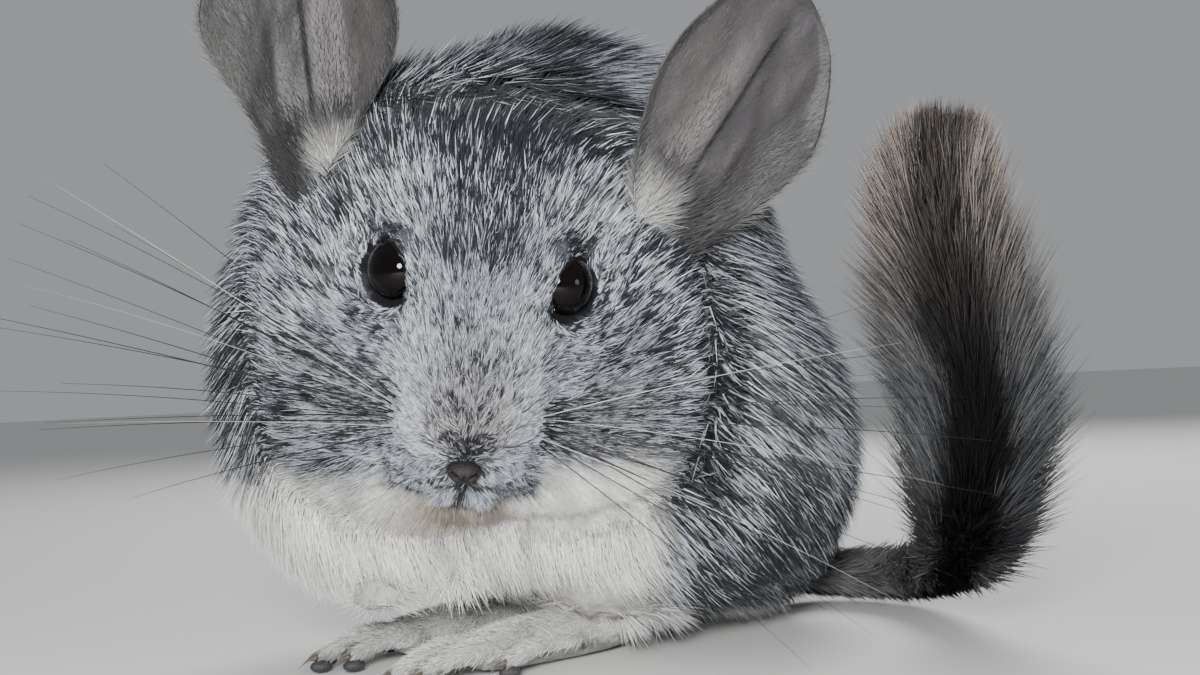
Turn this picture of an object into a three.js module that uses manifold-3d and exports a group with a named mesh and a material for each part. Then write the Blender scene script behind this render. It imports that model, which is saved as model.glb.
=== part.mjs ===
// A grey chinchilla, life size, sitting hunched on its long hind feet with its head turned to its left.
// Millimetres, +Z up. The body faces -Y and the animal's left is +X. The floor is the plane z = 0.
// Every form is given out to the tips of its coat.
import * as THREE from "three";
import { mergeVertices } from "three/addons/utils/BufferGeometryUtils.js";
import Module from "manifold-3d";

const wasm = await Module();
wasm.setup();

// Driving dimensions
const BODY_HALF_WIDTH = 58;
const BACK_HEIGHT = 144;
const RUMP_Y = 80;
const CHEST_Y = -72;
const FOOT_SPREAD = 15;
const FOOT_WIDTH = 15;
const TOE_Y = -53;
const HEEL_Y = 16;
const EYE_RADIUS = 6.6;
const EYE_SPREAD = 15.6;
const LID = 1.1;
const EAR_LENGTH = 62;
const EAR_WIDTH = 42;
const EAR_THICK = 1.8;
const TAIL_HALF_WIDTH = 8;
const BRUSH_HALF_WIDTH = 20;
const BRUSH_CORE = 0.48;
const WHISKER_LENGTH = 95;
const WHISKER_THICK = 0.7;
const GAP = 0.3;

// Where the head is held: the point between the eyes, and its turn to its left, its bow and its tilt
const HEAD_AT = new THREE.Vector3(31.5, -36.7, 81.3);
const HEAD_TURN = THREE.MathUtils.degToRad(57);
const HEAD_BOW = THREE.MathUtils.degToRad(33);
const HEAD_TILT = THREE.MathUtils.degToRad(7.7);

const SIDES = [
  { side: -1, word: "right" },
  { side: 1, word: "left" },
];
const at = (x, y, z) => new THREE.Vector3(x, y, z);
const lerp = THREE.MathUtils.lerp;
const rad = THREE.MathUtils.degToRad;

// Looks of the coat and the bare parts
const looks = (color, roughness) => new THREE.MeshStandardMaterial({ color, roughness, metalness: 0 });
const COAT = looks(0x8d9198, 0.9);
const FACE = looks(0xa3a8ae, 0.9);
const PALE = looks(0xdcd8d0, 0.9);
const EAR_SKIN = looks(0x8a8184, 0.7);
const EYE_BLACK = looks(0x0b0809, 0.08);
const NOSE_SKIN = looks(0x4a4044, 0.6);
const TAIL_COAT = looks(0x4b4a4d, 0.9);
const BRISTLE = looks(0x1d1a1a, 0.5);

// Solids: a closed surface becomes one, and a node is the largest body of what was made
function solid(geometry) {
  const bare = geometry.index ? geometry.toNonIndexed() : geometry;
  const points = new THREE.BufferGeometry().setAttribute("position", bare.getAttribute("position"));
  const merged = mergeVertices(points, 1e-3);
  const vertProperties = new Float32Array(merged.attributes.position.array);
  const triVerts = new Uint32Array(merged.index.array);
  return new wasm.Manifold(new wasm.Mesh({ numProp: 3, vertProperties, triVerts }));
}

const placed = (made, matrix) => made.transform(matrix.elements);
const fused = (list) => list.reduce((a, b) => a.add(b));
const without = (made, list) => list.reduce((a, b) => a.subtract(b), made);

function node(parent, name, made, material) {
  const body = made.decompose().reduce((a, b) => (b.volume() > a.volume() ? b : a));
  const { vertProperties, triVerts } = body.getMesh();
  const geometry = new THREE.BufferGeometry();
  geometry.setAttribute("position", new THREE.BufferAttribute(new Float32Array(vertProperties), 3));
  geometry.setIndex(new THREE.BufferAttribute(new Uint32Array(triVerts), 1));
  geometry.computeVertexNormals();
  const mesh = new THREE.Mesh(geometry, material);
  mesh.name = name;
  parent.add(mesh);
}

// Rounded forms: an egg as a distance, a soft union of several, and the surface seen from a centre
function egg(x, y, z, rx, ry, rz) {
  return (p, grow) => {
    const [ax, ay, az] = [rx + grow, ry + grow, rz + grow];
    const [dx, dy, dz] = [p.x - x, p.y - y, p.z - z];
    const near = Math.hypot(dx / ax, dy / ay, dz / az);
    const slope = Math.hypot(dx / (ax * ax), dy / (ay * ay), dz / (az * az));
    return slope < 1e-9 ? -Math.min(ax, ay, az) : (near * (near - 1)) / slope;
  };
}

function soft(softness, forms) {
  return (p, grow) => {
    let value = forms[0](p, grow);
    for (const form of forms.slice(1)) {
      const other = form(p, grow);
      const share = Math.max(softness - Math.abs(value - other), 0) / softness;
      value = Math.min(value, other) - (share * share * softness) / 4;
    }
    return value;
  };
}

function surfacePoint(form, centre, way, grow = 0) {
  const p = centre.clone();
  for (let step = 0; step < 90; step++) {
    const left = form(p, grow);
    if (left > -0.004) break;
    p.addScaledVector(way, Math.max(-left * 0.8, 0.01));
  }
  return p;
}

function cast(form, centre, detail, grow = 0) {
  const ball = new THREE.IcosahedronGeometry(1, detail);
  ball.deleteAttribute("normal");
  ball.deleteAttribute("uv");
  const geometry = mergeVertices(ball, 1e-4);
  const position = geometry.attributes.position;
  for (let i = 0; i < position.count; i++) {
    const way = at(0, 0, 0).fromBufferAttribute(position, i);
    const p = surfacePoint(form, centre, way, grow);
    position.setXYZ(i, p.x, p.y, p.z);
  }
  return solid(geometry);
}

const eggSolid = (x, y, z, rx, ry, rz, detail, grow = 0) =>
  cast(egg(x, y, z, rx, ry, rz), at(x, y, z), detail, grow);

// A body drawn along a smooth line: rings of points between two poles, as wide and thick as told on the way
function drawn({ path, rings, sides, width, thick = width, up = at(0, 0, 1) }) {
  const line = new THREE.CatmullRomCurve3(path);
  const points = [line.getPointAt(0)];
  for (let ring = 1; ring < rings; ring++) {
    const along = ring / rings;
    const middle = line.getPointAt(along);
    const ahead = line.getTangentAt(along);
    const across = at(0, 0, 0).crossVectors(ahead, up).normalize();
    const over = at(0, 0, 0).crossVectors(across, ahead);
    for (let i = 0; i < sides; i++) {
      const turn = (i / sides) * Math.PI * 2;
      const point = middle.clone().addScaledVector(across, Math.cos(turn) * width(along));
      points.push(point.addScaledVector(over, Math.sin(turn) * thick(along)));
    }
  }
  points.push(line.getPointAt(1));
  const last = points.length - 1;
  const faces = [];
  for (let i = 0; i < sides; i++) {
    const next = (i + 1) % sides;
    faces.push(0, 1 + i, 1 + next);
    for (let ring = 0; ring < rings - 2; ring++) {
      const [low, high] = [1 + ring * sides, 1 + (ring + 1) * sides];
      faces.push(low + i, high + i, high + next, low + i, high + next, low + next);
    }
    const top = 1 + (rings - 2) * sides;
    faces.push(top + i, last, top + next);
  }
  const geometry = new THREE.BufferGeometry();
  const numbers = points.flatMap((p) => [p.x, p.y, p.z]);
  geometry.setAttribute("position", new THREE.Float32BufferAttribute(numbers, 3));
  geometry.setIndex(faces);
  return solid(geometry);
}

// How a drawn body swells: rounded at both ends, and tapered from a root to a fine tip
const rounded = (half) => (along) => half * Math.sqrt(Math.max(1 - (2 * along - 1) ** 4, 0.02));
const tapered = (half, fullest) => (along) => {
  const past = Math.max(along - fullest, 0) / (1 - fullest);
  return half * Math.sqrt(Math.min(along / fullest, 1)) * Math.cos(past * 1.45);
};

// All that lies on one side of a plane through a point
function beyond(point, way, offset = 0) {
  const size = 400;
  const box = new THREE.BoxGeometry(size, size, size);
  const normal = way.clone().normalize();
  const turn = new THREE.Quaternion().setFromUnitVectors(at(0, 0, 1), normal);
  const middle = point.clone().addScaledVector(normal, size / 2 + offset);
  return solid(box.applyMatrix4(new THREE.Matrix4().compose(middle, turn, at(1, 1, 1))));
}
const UNDER_FLOOR = beyond(at(0, 0, 0), at(0, 0, -1));

// The head, in its own frame: x to its left, y back, z up, from the point between the eyes
const headTurn = new THREE.Quaternion().setFromEuler(new THREE.Euler(HEAD_BOW, HEAD_TILT, HEAD_TURN, "ZYX"));
const headMatrix = new THREE.Matrix4().compose(HEAD_AT, headTurn, at(1, 1, 1));
const crown = egg(0, 24, 2, 36, 22, 23);
const brow = egg(0, 5, 1, 18, 20, 15);
const snout = egg(0, -8, -14, 18, 18, 14);
const muzzle = egg(0, -22, -20.5, 12, 10.5, 9);
const cheeks = SIDES.map(({ side }) => egg(side * 20, 12, -16, 19, 20, 18));
const lips = SIDES.map(({ side }) => egg(side * 4.8, -25, -29.3, 5.8, 5.8, 5));
const headForm = soft(7, [crown, brow, snout, muzzle, ...cheeks, soft(1.2, lips)]);
const JAW = [0, -17, -35, 8.5, 10.5, 5];
const NOSE = [0, -31, -22.4, 4.6, 3, 3.6];
const HEAD_FACETS = 8;
const headSolid = (grow, facets) => cast(headForm, at(0, 2, -6), facets, grow);
const jawSolid = (grow) => eggSolid(...JAW, 2, grow);
const noseSolid = (grow) => eggSolid(...NOSE, 2, grow);

function ball(centre, radius, detail) {
  const sphere = new THREE.IcosahedronGeometry(radius, detail);
  sphere.translate(centre.x, centre.y, centre.z);
  return solid(sphere);
}

// Lids: a thin shell over the eyeball, open where the eye looks out, to the side and a little forward
const EYE_LOOK = rad(34);
const LID_OPENING = 7.2;
const eyeAt = (side) => at(side * EYE_SPREAD, 0, 0);
const eyeSolid = (side, grow) => ball(eyeAt(side), EYE_RADIUS + grow, 3);
const lidSolid = (side, grow) => ball(eyeAt(side), EYE_RADIUS + GAP + LID + grow, 2);
const lidOpening = (side) => {
  const look = at(side * Math.cos(EYE_LOOK), -Math.sin(EYE_LOOK), 0);
  return ball(eyeAt(side).addScaledVector(look, EYE_RADIUS), LID_OPENING, 2);
};

// Whiskers: a fan of tapered bristles out of a pad on each side of the muzzle
const WHISKERS = 8;
const WHISKER_SWEEP = { "-1": [6, 18], "1": [-24, -4] };
const PAD = { y: -19, z: -21, proud: 1.4, size: [4.5, 5.5, 4.2] };
const PAD_X = surfacePoint(headForm, at(0, PAD.y, PAD.z), at(1, 0, 0)).x + PAD.proud - PAD.size[0];
const padSolid = (side, grow) => eggSolid(side * PAD_X, PAD.y, PAD.z, ...PAD.size, 2, grow);

function whisker(side, index) {
  const spread = index / (WHISKERS - 1);
  const rise = rad(lerp(-18, 22, spread));
  const back = rad(lerp(...WHISKER_SWEEP[side], spread) + (index % 2) * 3);
  const length = WHISKER_LENGTH * lerp(0.72, 1, Math.sin(spread * Math.PI * 0.8));
  const root = at(side * (PAD_X + 2), PAD.y - 2 + (index % 3) * 1.8, PAD.z - 1.5 + spread * 3);
  const out = at(side * Math.cos(back) * Math.cos(rise), Math.sin(back) * Math.cos(rise), Math.sin(rise));
  const sag = at(0, 0.1, -0.13);
  const path = [0, 0.3, 0.65, 1].map((along) =>
    root.clone().addScaledVector(out, along * length).addScaledVector(sag, along * along * length));
  const width = (along) => (WHISKER_THICK / 2) * lerp(1.2, 0.5, along);
  return drawn({ path, rings: 5, sides: 3, width });
}

// Ears: a flat round blade bent into a cup, its hollow facing forward, a fold rising in it from the root
const EAR_HOLD = {
  right: { root: [-35, 22, 2], lean: 6, back: 20, open: 16, pinch: 0.35 },
  left: { root: [34, 20, -1], lean: 24, back: 20, open: 16, pinch: 0.7 },
};

function earSolid(side, pinch) {
  const blade = new THREE.SphereGeometry(1, 22, 12).rotateX(Math.PI / 2);
  const position = blade.attributes.position;
  for (let i = 0; i < position.count; i++) {
    const [across, through, along] = [position.getX(i), position.getY(i), position.getZ(i)];
    const narrow = lerp(pinch, 1.04, THREE.MathUtils.smoothstep(along, -1, 0.25));
    const x = across * narrow * (EAR_WIDTH / 2);
    const z = (along + 1) * (EAR_LENGTH / 2);
    const thick = Math.sign(through) * Math.abs(through) ** 0.5 * (EAR_THICK / 2);
    const cup = -0.011 * x * x - 0.003 * (z - EAR_LENGTH / 2) ** 2;
    const fold = -3 * Math.exp(-(((x - side * 4) / 7) ** 2)) * THREE.MathUtils.smoothstep(-z, -50, -15);
    position.setXYZ(i, x, thick + cup + fold, z);
  }
  return solid(blade);
}

function earMatrix({ side, word }) {
  const { root, lean, back, open } = EAR_HOLD[word];
  const angles = new THREE.Euler(rad(-back), side * rad(lean), side * rad(open), "YXZ");
  const turn = new THREE.Quaternion().setFromEuler(angles);
  return new THREE.Matrix4().compose(at(...root), turn, at(1, 1, 1));
}

const model = new THREE.Group();
const head = new THREE.Group();
head.position.copy(HEAD_AT);
head.quaternion.copy(headTurn);
model.add(head);

const pair = (make, grow) => SIDES.map(({ side }) => make(side, grow));
const lidded = (grow) => fused([headSolid(grow, HEAD_FACETS), ...pair(lidSolid, grow)]);
const sockets = [...pair(eyeSolid, GAP), ...pair(lidOpening), ...pair(padSolid, GAP)];
const openings = [...sockets, jawSolid(GAP), noseSolid(GAP)];
node(head, "lower_jaw", jawSolid(0), PALE);
const nostrils = SIDES.map(({ side }) =>
  eggSolid(side * 2.3, NOSE[1] - 2.8, NOSE[2] + 0.2, 1.2, 1.6, 0.8, 1));
node(head, "nose", without(noseSolid(0), nostrils), NOSE_SKIN);
for (const { side, word } of SIDES) {
  node(head, `eye_${word}`, eyeSolid(side, 0), EYE_BLACK);
  const pad = without(padSolid(side, 0), [jawSolid(GAP), noseSolid(GAP)]);
  const bristles = Array.from({ length: WHISKERS }, (_, index) => whisker(side, index));
  node(head, `whiskers_${word}`, fused([pad, ...bristles]), BRISTLE);
}

// The body: belly, back, chest, rump, haunches and the ruff of the neck, in one soft mass
const HAUNCH_X = BODY_HALF_WIDTH - 25;
const belly = egg(0, 12, 60, 46, 58, 53);
const back = egg(-3, 12, BACK_HEIGHT - 57, 45, 52, 57);
const chest = egg(-14, CHEST_Y + 44, 60, 42, 42, 50);
const rump = egg(0, RUMP_Y - 34, 40, 45, 34, 41.5);
const haunches = SIDES.map(({ side }) => egg(side * HAUNCH_X, 16, 49, 25, 41, 39));
const shoulders = egg(-12, -22, 84, 43, 42, 46);
const ruffForm = egg(0, 34, -4, 42, 20, 38);
const headInverse = headMatrix.clone().invert();
const ruff = (p, grow) => ruffForm(p.clone().applyMatrix4(headInverse), grow);
const coat = soft(14, [belly, back, chest, shoulders, rump, ...haunches, ruff]);

// Hind feet: heel to toes flat on the floor, four toes, and the shank going up into the haunch
const TOES = [
  { x: -5.2, reach: 5, half: 2.9 },
  { x: 0, reach: 0, half: 3.1 },
  { x: 5.2, reach: 4, half: 2.9 },
  { x: 8.6, reach: 22, half: 2.3 },
];

function footSolid(side, grow) {
  const x0 = side * FOOT_SPREAD;
  const half = FOOT_WIDTH / 2 + grow;
  const sole = drawn({
    path: [at(x0, HEEL_Y + grow, 6), at(x0, -8, 5.5), at(x0, TOE_Y + 16 - grow, 4.5)],
    rings: 8, sides: 10,
    width: (along) => rounded(half)(along) * lerp(0.8, 1, along),
    thick: (along) => rounded(6.4 + grow)(along) * lerp(1, 0.8, along),
  });
  const toes = TOES.map(({ x, reach, half: toe }) => drawn({
    path: [at(x0 + side * x * 0.8, TOE_Y + 26 + reach, 4.5), at(x0 + side * x, TOE_Y + 10 + reach, 5.5),
      at(x0 + side * x, TOE_Y + reach, 1.6)],
    rings: 6, sides: 6, width: rounded(toe + grow),
  }));
  const shank = drawn({
    path: [at(x0 + side, HEEL_Y - 8, 1), at(x0 + side * 5, HEEL_Y - 14, 16),
      at(x0 + side * 12, HEEL_Y - 24, 34)],
    rings: 6, sides: 8, up: at(0, 1, 0), width: rounded(8 + grow),
  });
  return fused([sole, ...toes, shank]);
}

// Forelegs: folded under the chest, the paws together below the chin
function forelegSolid(side, grow) {
  const arm = drawn({
    path: [at(side * 21 - 6, -18, 40), at(side * 16 - 6, -29, 25), at(side * 8 - 5, -40, 19)],
    rings: 6, sides: 8, width: (along) => rounded(lerp(11.5, 6, along) + grow)(along),
  });
  const fingers = [-1, 0, 1].map((finger) => drawn({
    path: [at(side * 8 - 5, -37, 19), at(side * 7 - 5 + finger * 2.6, -45, 18),
      at(side * 6 - 5 + finger * 2.8, -48, 14)],
    rings: 5, sides: 5, up: at(1, 0, 0), width: rounded(1.9 + grow),
  }));
  return fused([arm, ...fingers]);
}

// The tail: out of the rump along the floor, round the left side, and up into its brush
const TAIL_LINE = [
  at(0, 66, 12), at(8, 82, 7.2), at(28, 86, 7.8), at(50, 76, 12), at(66, 64, 19),
  at(75, 57, 30), at(78, 56, 46), at(77, 54, 64), at(75, 52, 84), at(75, 52, 100), at(77, 54, 114),
];
const TAIL_UP = at(0.1, -0.9, -0.45);
const tailLine = new THREE.CatmullRomCurve3(TAIL_LINE);
const TAIL_LENGTH = tailLine.getLength();
const brushShare = (along) => THREE.MathUtils.smoothstep(along, 0.38, 0.64);
const tailReach = (along) =>
  lerp(TAIL_HALF_WIDTH, BRUSH_HALF_WIDTH, brushShare(along)) *
  Math.sqrt(1 - Math.max(0, (along - 0.72) / 0.3) ** 2);
const tailCore = (along) =>
  lerp(TAIL_HALF_WIDTH * Math.min(1, 0.6 + along * 8), BRUSH_HALF_WIDTH * BRUSH_CORE, brushShare(along)) *
  Math.sqrt(1 - Math.max(0, (along - 0.8) / 0.21) ** 2);
const core = drawn({ path: TAIL_LINE, rings: 22, sides: 12, width: tailCore, up: TAIL_UP }).subtract(UNDER_FLOOR);

// A point off the tail's line, round it by an angle, and on past its end
function offTail(along, angle, off) {
  const on = Math.min(along, 1);
  const ahead = tailLine.getTangentAt(on);
  const across = at(0, 0, 0).crossVectors(ahead, TAIL_UP).normalize();
  const over = at(0, 0, 0).crossVectors(across, ahead);
  const out = across.multiplyScalar(Math.cos(angle)).addScaledVector(over, Math.sin(angle));
  const point = tailLine.getPointAt(on).addScaledVector(ahead, (along - on) * TAIL_LENGTH);
  return { point: point.addScaledVector(out, off), out };
}

// Locks of the brush: flat tapered strands out of the core, bent to lie along the tail, tips at its outline
const LOCKS = 42;
const LOCK_HALF_WIDTH = 3.6;
const LOCK_LIE = 0.13;
const GOLDEN_ANGLE = Math.PI * (3 - Math.sqrt(5));
let seed = 11;
function vary(low, high) {
  seed = (seed * 16807) % 2147483647;
  return lerp(low, high, seed / 2147483647);
}

const locks = Array.from({ length: LOCKS }, (_, index) => {
  const along = lerp(0.4, 0.93, (index + 0.5) / LOCKS);
  const angle = index * GOLDEN_ANGLE + vary(-0.2, 0.2);
  const lie = LOCK_LIE * vary(0.85, 1.15);
  const tipAlong = Math.min(along + lie, 1.01);
  const root = offTail(along, angle, tailCore(along) * 0.45);
  const middle = offTail(along + lie * 0.35, angle, tailReach(along) * 0.72);
  const reach = tailReach(tipAlong) * vary(0.94, 1.08) + 1;
  const tip = offTail(along + lie, angle + vary(-0.15, 0.15), reach);
  const half = LOCK_HALF_WIDTH * vary(0.85, 1.15);
  return drawn({
    path: [root.point, middle.point, tip.point],
    rings: 5, sides: 4, up: root.out, width: tapered(half, 0.45), thick: tapered(half * 0.36, 0.3),
  });
});
const wholeTail = fused([core, ...locks]).subtract(UNDER_FLOOR);
const [TAIL_BEND, TAIL_BRUSH] = [0.3, 0.55];
const past = (along, offset) => beyond(tailLine.getPointAt(along), tailLine.getTangentAt(along), offset);

// Head and body are one mass, parted by thin cuts into head, neck, torso and haunches
const BODY_FACETS = 9;
const bodySolid = (grow) => cast(coat, at(0, 5, 62), BODY_FACETS, grow);
const headCut = (grow) => placed(eggSolid(0, -4, 0, 47, 43, 39, 5, grow), headMatrix);
const NECK_AT = at(4, -20, 94);
const NECK_WAY = at(0.5, -0.7, 0.5);
const haunchSolid = (side, grow) => eggSolid(side * (HAUNCH_X + 7), 14, 38, 27, 40, 38, 3, grow);
const limbRooms = SIDES.flatMap(({ side }) => [footSolid(side, GAP), forelegSolid(side, GAP)]);
const massAt = (grow) => bodySolid(grow).add(placed(lidded(grow), headMatrix));
const headRooms = openings.map((made) => placed(made, headMatrix));
const mass = without(massAt(0), [UNDER_FLOOR, ...headRooms, ...limbRooms]);
const inHead = (made) => placed(made, headMatrix.clone().invert());
node(head, "head", inHead(mass.intersect(headCut(0))), FACE);
const trunk = mass.subtract(headCut(GAP));
node(model, "neck", trunk.intersect(beyond(NECK_AT, NECK_WAY)), COAT);
const lower = trunk.subtract(beyond(NECK_AT, NECK_WAY, -GAP));
node(model, "torso", without(lower, SIDES.map(({ side }) => haunchSolid(side, GAP))), COAT);
for (const { side, word } of SIDES) {
  node(model, `haunch_${word}`, lower.intersect(haunchSolid(side, 0)), COAT);
  node(model, `hind_foot_${word}`, footSolid(side, 0).subtract(UNDER_FLOOR), PALE);
  node(model, `foreleg_${word}`, forelegSolid(side, 0), COAT);
}
const massRoom = massAt(GAP);
for (const { side, word } of SIDES) {
  const matrix = earMatrix({ side, word });
  const ear = new THREE.Group();
  matrix.decompose(ear.position, ear.quaternion, ear.scale);
  head.add(ear);
  const room = placed(inHead(massRoom), matrix.clone().invert());
  node(ear, `ear_${word}`, earSolid(side, EAR_HOLD[word].pinch).subtract(room), EAR_SKIN);
}
const tail = wholeTail.subtract(massRoom);
node(model, "tail_root", tail.subtract(past(TAIL_BEND, 0)), TAIL_COAT);
node(model, "tail_bend", tail.intersect(past(TAIL_BEND, GAP)).subtract(past(TAIL_BRUSH, 0)), TAIL_COAT);
node(model, "tail_brush", tail.intersect(past(TAIL_BRUSH, GAP)), TAIL_COAT);

// The origin is under the middle of the whole
const box = new THREE.Box3().setFromObject(model, true);
model.position.set(-(box.min.x + box.max.x) / 2, -(box.min.y + box.max.y) / 2, 0);

export default model;
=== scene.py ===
import math

import bmesh
import bpy
import numpy as np
from mathutils import Matrix, Vector


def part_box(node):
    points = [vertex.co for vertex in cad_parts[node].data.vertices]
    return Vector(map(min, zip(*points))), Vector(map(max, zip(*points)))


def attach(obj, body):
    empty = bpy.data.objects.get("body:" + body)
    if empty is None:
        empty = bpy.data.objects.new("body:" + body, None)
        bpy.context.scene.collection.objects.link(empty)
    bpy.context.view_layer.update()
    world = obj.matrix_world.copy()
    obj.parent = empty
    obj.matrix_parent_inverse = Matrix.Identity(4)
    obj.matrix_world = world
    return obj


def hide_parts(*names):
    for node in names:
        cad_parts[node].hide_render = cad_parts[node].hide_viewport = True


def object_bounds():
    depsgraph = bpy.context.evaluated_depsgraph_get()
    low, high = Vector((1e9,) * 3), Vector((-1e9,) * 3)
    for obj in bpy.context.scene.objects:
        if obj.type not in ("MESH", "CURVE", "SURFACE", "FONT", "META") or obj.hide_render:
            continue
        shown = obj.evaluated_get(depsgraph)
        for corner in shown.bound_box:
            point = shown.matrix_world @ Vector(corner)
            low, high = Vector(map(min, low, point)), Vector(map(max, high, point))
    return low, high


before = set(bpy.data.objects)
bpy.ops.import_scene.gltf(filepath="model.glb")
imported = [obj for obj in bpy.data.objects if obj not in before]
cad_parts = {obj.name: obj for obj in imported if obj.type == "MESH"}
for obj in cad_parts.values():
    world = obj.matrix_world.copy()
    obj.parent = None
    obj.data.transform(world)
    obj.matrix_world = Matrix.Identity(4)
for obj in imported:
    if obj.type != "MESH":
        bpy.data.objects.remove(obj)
cad_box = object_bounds()
bpy.ops.object.select_all(action="DESELECT")

MM = 0.001
BODY = "root"
COLOR_LAYER = "hair"
SIDES = ((-1, "right"), (1, "left"))
rng = np.random.default_rng(5)

# Named sizes, the same as the solids'
HEAD_AT = np.array([31.5, -36.7, 81.3])
HEAD_TURN, HEAD_BOW, HEAD_TILT = 57, 33, 7.7
EYE_SPREAD = 15.6
EYE_RADIUS = 6.6
EYE_LOOK = 34
OPENING = 66
LID_REACH = 7.6
NOSE = np.array([0, -31, -22.4])
NOSE_PAD = np.array([0, -30.9, -25.0])
NOSE_PAD_SIZE = np.array([3.2, 2.8, 2.4])
PAD = np.array([11.6, -19, -21])
PAD_SIZE = np.array([4.5, 5.5, 4.2])
EAR_LENGTH, EAR_WIDTH, EAR_THICK = 62, 42, 1.8
EAR_HOLD = {
    "right": dict(root=(-35, 22, 2), lean=6, back=20, open=16, pinch=0.35),
    "left": dict(root=(34, 20, -1), lean=24, back=20, open=16, pinch=0.7),
}
FOOT_SPREAD, TOE_Y = 15, -53
TAIL_LINE = [
    (0, 66, 12), (8, 82, 7.2), (28, 86, 7.8), (50, 76, 12), (66, 64, 19), (75, 57, 30),
    (78, 56, 46), (77, 54, 64), (75, 52, 84), (75, 52, 100), (77, 54, 114),
]


def middle_of(node):
    low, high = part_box(node)
    return np.array((low + high) / 2) / MM


EYES_AT = (middle_of("eye_left") + middle_of("eye_right")) / 2
SHIFT = EYES_AT - HEAD_AT
HEAD = np.array(
    Matrix.Rotation(math.radians(HEAD_TURN), 3, "Z")
    @ Matrix.Rotation(math.radians(HEAD_TILT), 3, "Y")
    @ Matrix.Rotation(math.radians(HEAD_BOW), 3, "X")
)


def to_head(points):
    return (points - HEAD_AT) @ HEAD


def from_head(points):
    return np.asarray(points, float) @ HEAD.T + HEAD_AT


# Small sums on arrays of points
def unit(rows):
    return rows / np.maximum(np.linalg.norm(rows, axis=-1, keepdims=True), 1e-9)


def smooth(value, low, high):
    share = np.clip((value - low) / (high - low), 0, 1)
    return share * share * (3 - 2 * share)


def fall(value, low, high):
    return 1 - smooth(value, low, high)


def bell(*parts):
    """1 in the middle, falling off all round; each part is a distance over the bell's width."""
    return np.exp(-sum(part ** 2 for part in parts))


def mix(a, b, share):
    return a + (b - a) * share


def column(values):
    return np.asarray(values)[:, None]


def dot(a, b):
    return (a * b).sum(1)


def laid_flat(ways, normals):
    return unit(ways - normals * column(dot(ways, normals)))


def hashed(cells, seed):
    total = np.full(cells.shape[0], seed * 374761393 + 668265263, np.int64)
    for axis, prime in zip(range(cells.shape[1]), (73856093, 19349663, 83492791, 50331653)):
        total = (total ^ (cells[:, axis] * prime)) & 0x7FFFFFFF
        total = (total * 1103515245 + 12345) & 0x7FFFFFFF
        total = (total ^ (total >> 13)) & 0x7FFFFFFF
    return total / 0x7FFFFFFF


def noise(points, seed):
    """Smooth noise from -1 to 1 over points of any number of axes, one cell a unit."""
    cell = np.floor(points).astype(np.int64)
    part = points - cell
    part = part * part * (3 - 2 * part)
    axes = points.shape[1]
    total = np.zeros(len(points))
    for corner in range(2 ** axes):
        step = np.array([(corner >> axis) & 1 for axis in range(axes)])
        weight = np.prod(np.where(step, part, 1 - part), axis=1)
        total += weight * hashed(cell + step, seed)
    return total * 2 - 1


def nearest_cell(points, size, seed):
    """The nearest of scattered points, one to a cell of the size, and a number from 0 to 1 of its own."""
    base = np.floor(points / size).astype(np.int64)
    best = np.full(len(points), 1e9)
    found = np.zeros_like(points)
    number = np.zeros(len(points))
    for x in (-1, 0, 1):
        for y in (-1, 0, 1):
            for z in (-1, 0, 1):
                cell = base + np.array([x, y, z])
                spot = (cell + np.stack([hashed(cell, seed + k) for k in range(3)], 1)) * size
                far = np.linalg.norm(spot - points, axis=1)
                near = far < best
                best[near] = far[near]
                found[near] = spot[near]
                number[near] = hashed(cell[near], seed + 7)
    return found, number


# Making and finishing pieces
def mesh_piece(name, points, faces, material, rounded=True):
    mesh = bpy.data.meshes.new(name)
    faces = np.asarray(faces, np.int32)
    mesh.vertices.add(len(points))
    mesh.vertices.foreach_set("co", ((points + SHIFT) * MM).astype(np.float32).ravel())
    mesh.loops.add(faces.size)
    mesh.loops.foreach_set("vertex_index", faces.ravel())
    mesh.polygons.add(len(faces))
    mesh.polygons.foreach_set("loop_start", np.arange(0, faces.size, faces.shape[1], dtype=np.int32))
    mesh.update(calc_edges=True)
    if rounded:
        mesh.shade_smooth()
    else:
        mesh.shade_flat()
    piece = bpy.data.objects.new(name, mesh)
    bpy.context.scene.collection.objects.link(piece)
    piece.data.materials.append(material)
    return piece


def points_of(piece):
    flat = np.zeros(len(piece.data.vertices) * 3, np.float32)
    piece.data.vertices.foreach_get("co", flat)
    return flat.reshape(-1, 3).astype(float) / MM - SHIFT


def move_points(piece, points):
    piece.data.vertices.foreach_set("co", ((points + SHIFT) * MM).astype(np.float32).ravel())
    piece.data.update()


def normals_of(piece):
    flat = np.zeros(len(piece.data.vertices) * 3, np.float32)
    piece.data.vertices.foreach_get("normal", flat)
    return flat.reshape(-1, 3).astype(float)


def set_colors(piece, colors):
    layer = piece.data.color_attributes.new(COLOR_LAYER, "FLOAT_COLOR", "POINT")
    rgba = np.ones((len(colors), 4), np.float32)
    rgba[:, :3] = colors
    layer.data.foreach_set("color", rgba.ravel())


def set_map(piece, uv):
    """The bake map of a piece, from one place for each of its points."""
    corners = np.zeros(len(piece.data.loops), np.int32)
    piece.data.loops.foreach_get("vertex_index", corners)
    layer = piece.data.uv_layers.new(name="OFBake")
    layer.data.foreach_set("uv", uv[corners].astype(np.float32).ravel())


def apply_all(piece):
    bpy.context.view_layer.objects.active = piece
    for modifier in list(piece.modifiers):
        bpy.ops.object.modifier_apply(modifier=modifier.name)


def finish_piece(piece, slot, *nodes):
    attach(piece, BODY)
    if nodes:
        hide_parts(*nodes)
    return piece


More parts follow.
